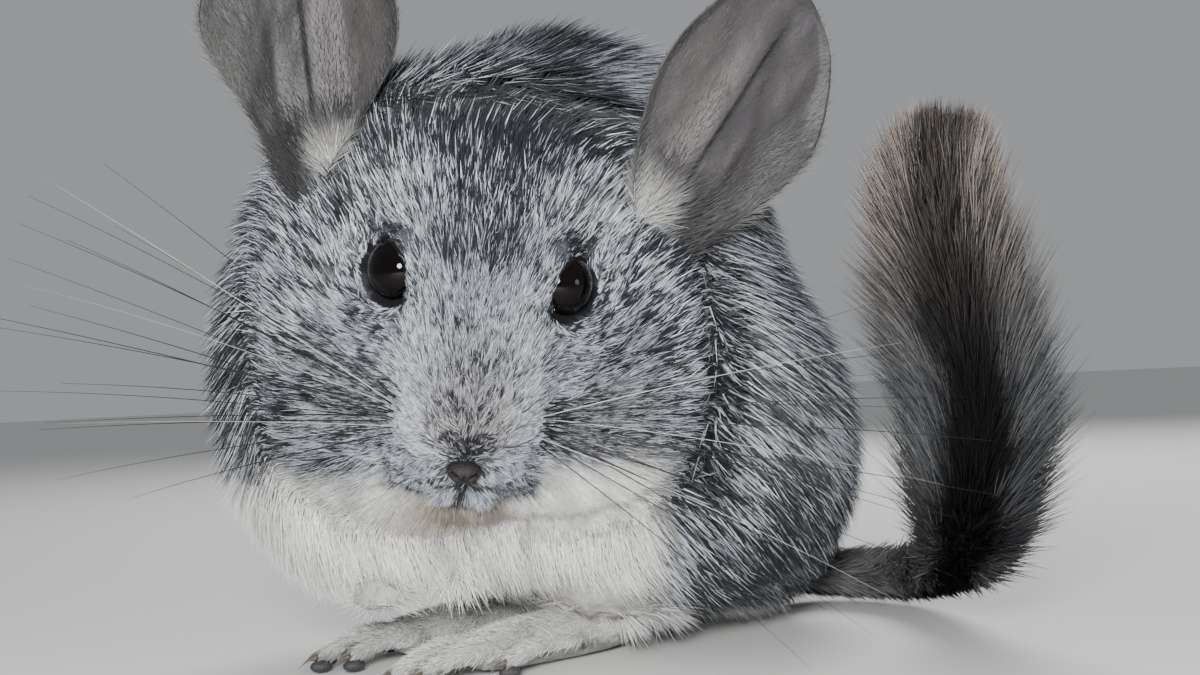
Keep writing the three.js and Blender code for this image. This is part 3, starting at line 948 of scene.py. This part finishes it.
def make_lid(side, word):
    look = unit(eye_look(side))
    up = unit(np.array([0, 0, 1.0]) - look * look[2])
    front = np.cross(up, look)
    turn = np.linspace(0, 2 * np.pi, 56, endpoint=False)
    rows = []
    for extra, proud in LID_PROFILE:
        angle = np.radians(opening_angle(turn) + extra)
        way = (np.cos(angle)[:, None] * look + np.sin(angle)[:, None]
               * (np.cos(turn)[:, None] * front + np.sin(turn)[:, None] * up))
        rows.append(eye_centre(side) + way * (EYE_RADIUS + proud))
    points = np.concatenate(rows)
    lid = mesh_piece(f"eyelid_{word}", from_head(points), grid_faces(len(rows), len(turn), True), LID)
    finish_piece(outward(lid), "nose_skin")


def make_nose():
    bpy.ops.mesh.primitive_ico_sphere_add(subdivisions=6, radius=1)
    nose = bpy.context.active_object
    ball = ball_of(nose)
    points = ball * NOSE_PAD_SIZE
    points[:, 0] *= 1 + 0.22 * ball[:, 2]
    groove = bell(points[:, 0] / 0.35) * smooth(-ball[:, 1], 0.2, 0.7) * smooth(-ball[:, 2], -0.5, 0.1)
    across = np.abs(points[:, 0])
    slit = points[:, 2] + 0.3 - 0.55 * np.sqrt(np.maximum(across - 0.9, 0))
    nostril = bell(slit / 0.42) * smooth(across, 0.7, 1.3) * fall(across, 3.0, 4.0)
    nostril *= smooth(-ball[:, 1], 0.05, 0.4)
    points -= ball * column(0.55 * groove + 1.5 * nostril)
    move_points(nose, from_head(points + NOSE_PAD))
    finish_piece(dressed(nose, "nose_pad", NOSE_SKIN), "nose_skin", "nose")


# Ears: a thin round blade bent into a cup, with folds at its root and a rim that turns over
def ear_matrix(side, word):
    hold = EAR_HOLD[word]
    turn = (Matrix.Rotation(side * math.radians(hold["lean"]), 3, "Y")
            @ Matrix.Rotation(-math.radians(hold["back"]), 3, "X")
            @ Matrix.Rotation(side * math.radians(hold["open"]), 3, "Z"))
    return np.array(turn), np.array(hold["root"], float)


def ear_fold(side, x, z):
    """Places across the ear, counted toward the crown from the deep fold that runs up it."""
    return -side * x - 4 + 8 * z / EAR_LENGTH


def ear_surface(side, pinch, s, t):
    """Places on the ear's middle sheet: s up it and t across it, each from -1 to 1."""
    narrow = mix(pinch, 1.04, smooth(s, -1, 0.25))
    x = t * np.sqrt(np.maximum(1 - s * s, 0)) * narrow * EAR_WIDTH / 2
    z = (s + 1) * EAR_LENGTH / 2
    y = -0.011 * x * x - 0.003 * (z - EAR_LENGTH / 2) ** 2
    y -= 3 * bell((x - side * 4) / 7) * fall(z, 15, 50)
    inner = ear_fold(side, x, z)
    reach = smooth(z, 3, 9) * fall(z, 40, 58)
    y -= 2.6 * smooth(inner, -0.7, 0.9) * fall(inner, 2, 9) * reach
    y -= 0.7 * bell((inner + 7) / 1.6) * smooth(z, 8, 14) * fall(z, 26, 40)
    rim = smooth(np.abs(t), 0.84, 1) * np.sqrt(np.maximum(1 - s * s, 0)) + smooth(s, 0.9, 1)
    y -= 1.2 * rim
    y += 0.3 * noise(np.stack([x / 4, z / 7], 1), 12) + 0.1 * noise(np.stack([x / 1.6, z / 3], 1), 13)
    return np.stack([x, y, z], 1)


def make_ear(side, word):
    pinch = EAR_HOLD[word]["pinch"]
    rows, columns = 110, 80
    s = np.repeat(np.sin(np.linspace(-np.pi / 2, np.pi / 2, rows)), columns)
    t = np.tile(np.linspace(-1, 1, columns), rows)
    sheet = ear_surface(side, pinch, s, t)
    half = 0.5 * EAR_THICK * 0.62 * np.sqrt(np.maximum(1 - t * t, 0.02))
    half = half * np.sqrt(np.maximum(1 - s * s, 0.02))
    half = np.maximum(half, 0.16) * mix(1.5, 1.0, smooth(s, -1, -0.3))
    half = np.array([0, 1, 0]) * column(half)
    count = rows * columns
    face = grid_faces(rows, columns, closed_columns=False)
    faces = [face, face[:, ::-1] + count]
    edge = []
    border = [(r, 0) for r in range(rows)] + [(rows - 1, c) for c in range(1, columns)]
    border += [(r, columns - 1) for r in range(rows - 2, -1, -1)]
    border += [(0, c) for c in range(columns - 2, 0, -1)]
    for (r, c), (r2, c2) in zip(border, border[1:] + border[:1]):
        a, b = r * columns + c, r2 * columns + c2
        edge += [(a, b, b + count), (a, b + count, a + count)]
    points = np.concatenate([sheet - half, sheet + half])
    turn, root = ear_matrix(side, word)
    place = from_head(points @ turn.T + root)
    ear = mesh_piece(f"ear_{word}_leather", place, np.concatenate(faces + [np.array(edge)]), EAR)
    x, z = sheet[:, 0], sheet[:, 2]
    fold = ear_fold(side, x, z)
    reach = smooth(z, 3, 9) * fall(z, 44, 60)
    inner = np.array([0.042, 0.038, 0.04])
    # Colours of the inner leather over shares of it; the dark line along the deep fold is painted shade cast
    # by the raised lobe
    for shade, share in (
        ((0.085, 0.074, 0.073), smooth(fold, 0.5, 3) * (1 - 0.6 * smooth(z, 30, 55))),
        ((0.018, 0.016, 0.017), bell((fold + 0.6) / 1.3) * reach * 0.92),
        ((0.045, 0.042, 0.045), smooth(np.abs(t), 0.74, 0.97) * 0.85),
        ((0.05, 0.047, 0.05), smooth(s, 0.6, 0.98) * 0.7),
    ):
        inner = mix(inner, np.array(shade), column(share))
    inner = inner * column(1 + 0.22 * noise(np.stack([x / 3, z / 6], 1), 17))
    outer = mix(np.array([0.05, 0.05, 0.054]), np.array([0.085, 0.08, 0.083]), column(smooth(s, -0.5, 0.5)))
    # Darkened by the ear's own factor: its dark tone, and for the right ear mostly painted shade
    inner = inner * EAR_TONE_AND_PAINTED_SHADE[word]
    set_colors(ear, np.concatenate([inner, outer]))
    uv = np.stack([t * 0.24 + 0.25, s * 0.48 + 0.5], 1)
    set_map(ear, np.concatenate([uv, uv + np.array([0.5, 0])]))
    finish_piece(outward(ear), "ear_skin", f"ear_{word}")
    grow_ear(ear, side, word)


def grow_ear(ear, side, word):
    """Fine short hairs over the leather, a paler tuft at its root, and a fringe along its outer edge."""
    turn, root = ear_matrix(side, word)

    def local(points):
        return (to_head(points) - root) @ turn

    def weight(points):
        q = local(points)
        inner = ear_fold(side, q[:, 0], q[:, 2])
        low = fall(q[:, 2], 8, 24)
        fringe = smooth(side * q[:, 0], 9, 15) * fall(q[:, 2], 30, 44)
        return 0.5 + 2.2 * low + 1.6 * smooth(inner, 1, 4) * fall(q[:, 2], 26, 44) + 2.5 * fringe

    roots, normals = scattered(surface_of(ear), EAR_HAIRS, weight)
    count = len(roots)
    q = local(roots)
    inner = ear_fold(side, q[:, 0], q[:, 2])
    way = np.stack([side * mix(0.55, -0.1, smooth(inner, 0, 6)), 0 * inner - 0.1, 0 * inner + 1], 1)
    way = way @ turn.T @ HEAD.T
    lie = laid_flat(way, normals)
    lie = turned(lie, normals, rng.normal(0, 0.22, count))
    low = fall(q[:, 2], 6, 24)
    fringe = smooth(side * q[:, 0], 10, 15) * fall(q[:, 2], 30, 44)
    length = (2.0 + 4.5 * low + 3.0 * fringe) * rng.uniform(0.6, 1.2, count)
    width = np.full(count, 0.17) + 0.12 * low
    lift = np.radians(14 + 16 * np.maximum(low, fringe)) + rng.normal(0, 0.08, count)
    base = fall(q[:, 2], 4, 18)
    pale = np.clip(np.maximum(base * smooth(inner, -4, 4), 0.2 * fringe), 0, 1)
    # The hair is darkened by the same factor, partly painted shade
    light = mix(np.array([0.1, 0.097, 0.1]) * EAR_TONE_AND_PAINTED_SHADE[word], WHITE * 0.8, column(pale))
    light = light * column(rng.uniform(0.55, 1.15, count))
    uv = np.stack([q[:, 0] / EAR_WIDTH * 0.48 + 0.25, q[:, 2] / EAR_LENGTH * 0.96 + 0.01], 1)
    uv[:, 0] += 0.5 * ((normals @ HEAD @ turn)[:, 1] > 0)
    data = (roots, normals, lie, length, width, lift, (light * 0.5, light * 0.8, light))
    finish_piece(hair_piece(f"coat_ear_{word}", *data, uv, sink=0.15), "coat")


EAR_HAIRS = 9000
# How much each ear's inner leather and hair are darkened: partly their dark tone, and for the right ear
# mostly painted shade
EAR_TONE_AND_PAINTED_SHADE = {"right": 0.55, "left": 0.88}


# Whiskers: long bristles, most of them black, fanned out of the pads on both sides of the muzzle
WHISKERS = 18
WHISKER_SWEEP = {-1: (6, 18), 1: (-24, -4)}


def make_whiskers(side, word):
    tubes, shades = [], []
    along = np.linspace(0, 1, 15)
    for index in range(WHISKERS):
        spread = index / (WHISKERS - 1)
        rise = math.radians(mix(-20, 26, spread) + rng.uniform(-2, 2))
        back = math.radians(mix(*WHISKER_SWEEP[side], spread) + (index % 3) * 4 + rng.uniform(-2, 2))
        length = 100 * mix(0.6, 1, math.sin(0.3 + spread * 2.2)) * rng.uniform(0.72, 1.0)
        row, line = index % 4, index // 4
        root = PAD * np.array([side, 1, 1]) + np.array([side * 2.6, -3.4 + row * 2.1, -2.6 + line * 1.7])
        level = math.cos(rise)
        out = np.array([side * math.cos(back) * level, math.sin(back) * level, math.sin(rise)])
        sag = np.array([0, 0.1, -0.13]) * rng.uniform(0.6, 1.4)
        path = root + out * column(along * length) + sag * column(along ** 2 * length)
        ahead = unit(np.gradient(path, axis=0))
        across = unit(np.cross(ahead, np.array([0, 0.3, 1.0])))
        pale = index % 6 == 4
        radius = (0.1 if pale else 0.16) * rng.uniform(0.8, 1.15) * (1 - along * 0.8)
        tubes.append(tube(path, across, np.cross(across, ahead), radius, 5))
        tone = np.array([0.36, 0.35, 0.34]) if pale else np.array([0.008, 0.007, 0.007])
        shades.append(np.tile(tone, (len(tubes[-1][0]), 1)))
    points, faces = gathered(tubes)
    piece = mesh_piece(f"whiskers_{word}_bristles", from_head(points), faces, WHISKER)
    set_colors(piece, np.concatenate(shades))
    finish_piece(outward(piece), "whisker", f"whiskers_{word}")


# The coat over head and body
def in_an_eye(points, extra, reach):
    """True where a point lies over the open part of an eye."""
    inside = np.zeros(len(points), bool)
    for side, _ in SIDES:
        far, angle = off_eye(points, side)
        inside |= (angle < OPENING + extra) & (far < reach)
    return inside


def near_nose(points, grow):
    off = (to_head(points) - NOSE_PAD) / (NOSE_PAD_SIZE + grow)
    return np.linalg.norm(off, axis=1) < 1


def prepared(roots, normals):
    """Everything that a tuft needs at its root: lie, length, width, lift, clump and colours."""
    count = len(roots)
    lie = turned(coat_lie(roots, normals), normals, rng.normal(0, 0.14, count))
    length = coat_length(roots) * rng.uniform(0.8, 1.15, count)
    width = coat_width(roots) * rng.uniform(0.75, 1.25, count)
    lift = coat_lift(roots) * (1 - 0.35 * ruff_fringe(roots)) + rng.normal(0, 0.08, count)
    size = 1.1 + 0.12 * np.median(coat_length(roots))
    spot, clump = nearest_cell(roots, size * 1.6, 9)
    pull = spot - roots
    pull -= normals * column(dot(pull, normals))
    lie = unit(lie + pull * column(0.5 / np.maximum(length, 2)))
    colors = coat_colors(roots, clump, rng.random(count))
    return lie, length, width, lift, colors


def kept(roots, normals, data, mask):
    lie, length, width, lift, colors = data
    return (roots[mask], normals[mask], lie[mask], length[mask], width[mask], lift[mask],
            tuple(color[mask] for color in colors))


def grow_coat(trunk):
    surface = surface_of(trunk)

    def weight(points):
        far = along_face(points)
        even = np.interp(far, [0, 12, 22, 41, 60, 80, 110], [22, 20, 13, 6, 3.0, 1.9, 1.35])
        even = even * (points[:, 2] > 1)
        return even * (1 + 0.5 * whiteness(points) * smooth(far, 35, 60))

    roots, normals = scattered(surface, COAT_COUNT, weight)
    good = ~in_an_eye(roots, 2, 8.2) & ~near_nose(roots, 0.1)
    roots, normals = roots[good], normals[good]
    data = prepared(roots, normals)
    lie, length, _, lift, _ = data
    for _ in range(4):
        tips = roots + raised(lie, normals, lift) * column(length)
        length *= np.where(in_an_eye(tips, -6, 8.4), 0.7, 1)
    tips = roots + raised(lie, normals, lift) * column(length)
    hem = mix(12.5, 0.2, smooth(tips[:, 1], -10, 3))
    good = ~in_an_eye(tips, -6, 8.4) & (tips[:, 2] > hem) & ~near_nose(tips, 0.0)
    far = along_face(roots)
    head_centre, body_centre = from_head(np.array([[0, 2, -6.0]]))[0], np.array([0, 5, 62.0])
    face = far < 44
    crown = (far >= 44) & (far < 66)
    rest = far >= 66
    angle = np.arctan2(roots[:, 1] - 5, roots[:, 0])
    regions = {}
    for side, word in SIDES:
        half = to_head(roots)[:, 0] * side > 0
        regions[f"coat_face_{word}"] = (face & half, hair_piece, head_centre)
        regions[f"coat_crown_{word}"] = (crown & half, tuft_piece, head_centre)
    sector = np.floor((angle + np.pi) / (2 * np.pi) * COAT_PARTS).astype(int)
    for part in range(COAT_PARTS):
        regions[f"coat_body_{part + 1}"] = (rest & (sector == part), tuft_piece, body_centre)
    for name, (mask, maker, centre) in regions.items():
        chosen = kept(roots, normals, data, mask & good)
        piece = maker(name, *chosen, round_map(chosen[0], centre))
        finish_piece(piece, "face_coat" if maker is hair_piece else "coat")


COAT_COUNT = 216000
COAT_PARTS = 6


# The coat of the feet, short and pale with painted shade in the gaps that part the toes, and their claws and
# pads
def foot_colors(points, single):
    pale = np.array([0.88, 0.87, 0.85]) * column(0.76 + 0.36 * single)
    dark = np.array([0.07, 0.068, 0.07]) * column(0.6 + 0.8 * single)
    low = fall(points[:, 2] + 1.5 * noise(points / 3, 28), 2.0, 6.0) * 0.85
    heel = smooth(points[:, 1], -8, 12) * 0.6
    patch = smooth(noise(points / 5, 8), 0.2, 0.8) * 0.35
    tip = mix(pale, dark, column(np.clip(np.maximum(np.maximum(low, heel), patch), 0, 1)))
    # Painted shade in the gaps that part the toes
    gap = np.abs(np.abs(np.abs(points[:, 0]) - FOOT_SPREAD) - 2.6)
    toe_gap_shade = 0.75 * fall(gap, 0.4, 1.0) * fall(points[:, 1], -42, -38)
    tip = mix(tip, dark, column(toe_gap_shade))
    return tip * 0.3, tip * 0.75, tip


def grow_feet(feet):
    roots, normals = scattered(surface_of(feet), FOOT_HAIRS, lambda points: 1.0 + 0 * points[:, 0])
    count = len(roots)
    way = np.array([0, -1.0, -0.35]) + np.array([1.0, 0, 0]) * column(0.3 * normals[:, 0])
    lie = laid_flat(way, normals)
    lie = turned(lie, normals, rng.normal(0, 0.25, count))
    length = mix(2.4, 5.0, smooth(roots[:, 2], 10, 22)) * rng.uniform(0.6, 1.2, count)
    width = np.full(count, 0.3)
    lift = np.radians(24) + rng.normal(0, 0.12, count)
    tips = roots + raised(lie, normals, lift) * column(length)
    good = (tips[:, 2] > 0.15) & (normals[:, 2] > -0.6) & (tips[:, 1] > TOE_Y - 4.5)
    chosen = kept(roots, normals, (lie, length, width, lift, foot_colors(roots, rng.random(count))), good)
    uv = round_map(chosen[0], np.array([0, -18.0, 6.0]))
    finish_piece(hair_piece("coat_feet", *chosen, uv, sink=0.2), "pale_coat")


FOOT_HAIRS = 24000
TOES = [(-5.2, 5), (0, 0), (5.2, 4), (8.6, 22)]
CLAW_LENGTH = 4.2


def make_claws_and_pads():
    """A small curved claw at the end of each toe, and a dark pad under it."""
    claws, pads = [], []
    along = np.linspace(0, 1, 9)
    across_claw, over_claw = np.array([[1, 0, 0]]), np.array([[0, 0.5, 0.9]])
    for side, _ in SIDES:
        for across, reach in TOES:
            toe = np.array([side * (FOOT_SPREAD + across), TOE_Y + reach, 0])
            height = 3.4 + 0.5 * along - 2.4 * along ** 2
            path = toe + np.stack([0 * along, 1.4 - along * CLAW_LENGTH, height], 1)
            claws.append(tube(path, across_claw, over_claw, 0.75 * (1 - along * 0.93), 8))
            bpy.ops.mesh.primitive_uv_sphere_add(segments=20, ring_count=12, radius=1)
            pad = bpy.context.active_object
            move_points(pad, ball_of(pad) * np.array([1.9, 2.5, 1.3]) + toe + np.array([0, 2.6, 1.5]))
            pads.append(dressed(pad, "toe_pad", PAW_PAD))
    finish_piece(joined("toe_pads", pads), "nose_skin")
    finish_piece(outward(mesh_piece("claws", *gathered(claws), CLAW)), "claw")


# The coat of the tail: plush at its root, long hair standing off both sides of a black stripe in the brush
STRIPE_LOW = np.array([0.1, -0.2, -0.97])
STRIPE_HIGH = np.array([0.61, -0.79, -0.03])


def grow_tail():
    count = TAIL_COUNT
    along = 0.02 + 0.93 * (np.arange(count) + rng.random(count)) / count
    turn = rng.uniform(0, 2 * np.pi, count)
    point, ahead, across, over = on_tail(along)
    out = across * column(np.cos(turn)) + over * column(np.sin(turn))
    brush = smooth(along, 0.34, 0.58)
    roots = point + out * (TAIL_TUBE * 0.8)
    toward = mix(STRIPE_LOW, STRIPE_HIGH, column(smooth(along, 0.3, 0.5)))
    toward = unit(toward - column(dot(toward, ahead)) * ahead)
    facing = dot(toward, out)
    black = smooth(facing + 0.12 * noise(roots / 6, 31), 0.62, 0.86)
    lift = np.radians(mix(32, 46, brush)) * mix(1, 0.6, smooth(along, 0.7, 0.95)) + rng.normal(0, 0.12, count)
    left = (1 - along) * TAIL_LENGTH
    length = mix(9.5, 25, brush) * rng.uniform(0.72, 1.15, count) * (1 - 0.3 * black)
    for _ in range(14):
        ahead_by = (length * np.cos(lift) - left + 24) / 27
        beyond = (length * np.sin(lift) + TAIL_TUBE) / 21
        outside = np.maximum(ahead_by, 0) ** 2 + beyond ** 2 > 1
        length *= np.where(outside & (ahead_by > 0), 0.93, 1)
    length *= rng.uniform(0.8, 1.08, count)
    width = mix(0.5, 0.34, brush) * rng.uniform(0.7, 1.2, count)
    lie = turned(ahead, out, rng.normal(0, 0.16, count))
    for _ in range(9):
        tips = roots + raised(lie, out, lift) * column(length)
        length *= np.where(tips[:, 0] + SHIFT[0] > TAIL_REACH, 0.92, 1)
    single = rng.random(count)
    _, clump = nearest_cell(roots + out * 4, 4.0, 15)
    top = smooth(along, 0.62, 0.85)
    light = np.clip(0.3 + 0.35 * (1 - brush) + 0.5 * (clump - 0.5) + 0.7 * (single - 0.4), 0, 1)
    grey = mix(SLATE * 1.2, np.array([0.2, 0.203, 0.206]), column(light)) * column(1 - 0.4 * top)
    tawny = np.array([0.36, 0.3, 0.25]) * column(0.6 + 0.7 * single)
    dark = column(np.clip(np.maximum(black, 0.6 * top), 0, 1))
    tip = mix(grey, BLACK, column(black))
    tip = mix(tip, tawny, column(top * (single > 0.4) * (1 - 0.75 * black)))
    middle = mix(grey * 0.75, BLACK, dark)
    root = mix(grey * 0.2, BLACK, dark)
    uv = np.stack([turn / (2 * np.pi) * 0.98 + 0.005, along * 0.98], 1)
    data = (lie, length, width, lift, (root, middle, tip))
    tips = roots + raised(lie, out, lift) * column(length)
    for part, (low, high) in enumerate(((0, 0.5), (0.5, 1))):
        mask = (tips[:, 2] > 0.3) & (along >= low) & (along < high)
        piece = tuft_piece(f"coat_tail_{part + 1}", *kept(roots, out, data, mask), uv[mask], bend=0.22)
        finish_piece(piece, "tail_coat")


TAIL_COUNT = 44000
TAIL_REACH = float(cad_box[1][0]) / MM + 1


# Camera, floor and light
def make_camera():
    data = bpy.data.cameras.new("camera")
    camera = bpy.data.objects.new("camera", data)
    bpy.context.scene.collection.objects.link(camera)
    plan_right, plan_away = np.array([0.628, 0.778, 0]), np.array([-0.778, 0.628, 0])
    upward = np.array([0, 0, 1.0])
    pitch, roll = math.radians(1.57), math.radians(2.69)
    forward = plan_away * math.cos(pitch) + upward * math.sin(pitch)
    over = upward * math.cos(pitch) - plan_away * math.sin(pitch)
    right = plan_right * math.cos(roll) - over * math.sin(roll)
    top = over * math.cos(roll) + plan_right * math.sin(roll)
    place = (EYES_AT + np.array([245.93, -169.04, -21.3])) * MM
    turn = Matrix([[*right], [*top], [*(-forward)]]).transposed()
    camera.matrix_world = Matrix.Translation(Vector(place)) @ turn.to_4x4()
    data.sensor_width = 36
    data.lens = 36 * 1512 / 1200
    data.clip_start = 0.01
    bpy.context.scene.camera = camera
    return right, top, forward, place


def make_floor():
    bpy.ops.mesh.primitive_circle_add(vertices=96, radius=6, fill_type="NGON", location=(0, 0, -0.0002))
    floor = bpy.context.active_object
    floor.name = "floor"
    made, _, _, shader = material("pale_floor", 0.85)
    shader.inputs["Base Color"].default_value = (0.72, 0.715, 0.7, 1)
    floor.data.materials.append(made)
    floor.select_set(False)


def make_light(name, place, target, size, power, color=(1, 1, 1)):
    data = bpy.data.lights.new(name, "AREA")
    data.shape = "DISK"
    data.size = size
    data.energy = power
    data.color = color
    light = bpy.data.objects.new(name, data)
    bpy.context.scene.collection.objects.link(light)
    light.location = place
    light.rotation_mode = "QUATERNION"
    light.rotation_quaternion = (Vector(target) - Vector(place)).to_track_quat("-Z", "Y")


def make_world():
    world = bpy.data.worlds.new("studio")
    world.use_nodes = True
    world.node_tree.nodes["Background"].inputs["Color"].default_value = (0.78, 0.8, 0.83, 1)
    world.node_tree.nodes["Background"].inputs["Strength"].default_value = 0.42
    bpy.context.scene.world = world


right, top, forward, camera_at = make_camera()
make_floor()
make_world()
aim = EYES_AT * MM
make_light("key", camera_at - right * 0.03 + top * 0.05, aim, 0.08, 2.15)
make_light("window", aim + right * 0.8 - forward * 0.35 + top * 0.05, aim, 0.25, 1.2, (0.84, 0.91, 1))
make_light("rim", aim + forward * 0.7 + top * 0.6 + right * 0.2, aim, 0.6, 7)

trunk, feet, tail_core = make_skin()
grow_coat(trunk)
grow_feet(feet)
make_claws_and_pads()
grow_tail()
skin = joined("skin", [trunk, feet, tail_core])
set_colors(skin, skin_colors(skin))
finish_piece(skin, "coat", *FLESH, *HIND_FEET, *TAIL_NODES)
for side, word in SIDES:
    make_eye(side, word)
    make_lid(side, word)
    make_ear(side, word)
    make_whiskers(side, word)
make_nose()
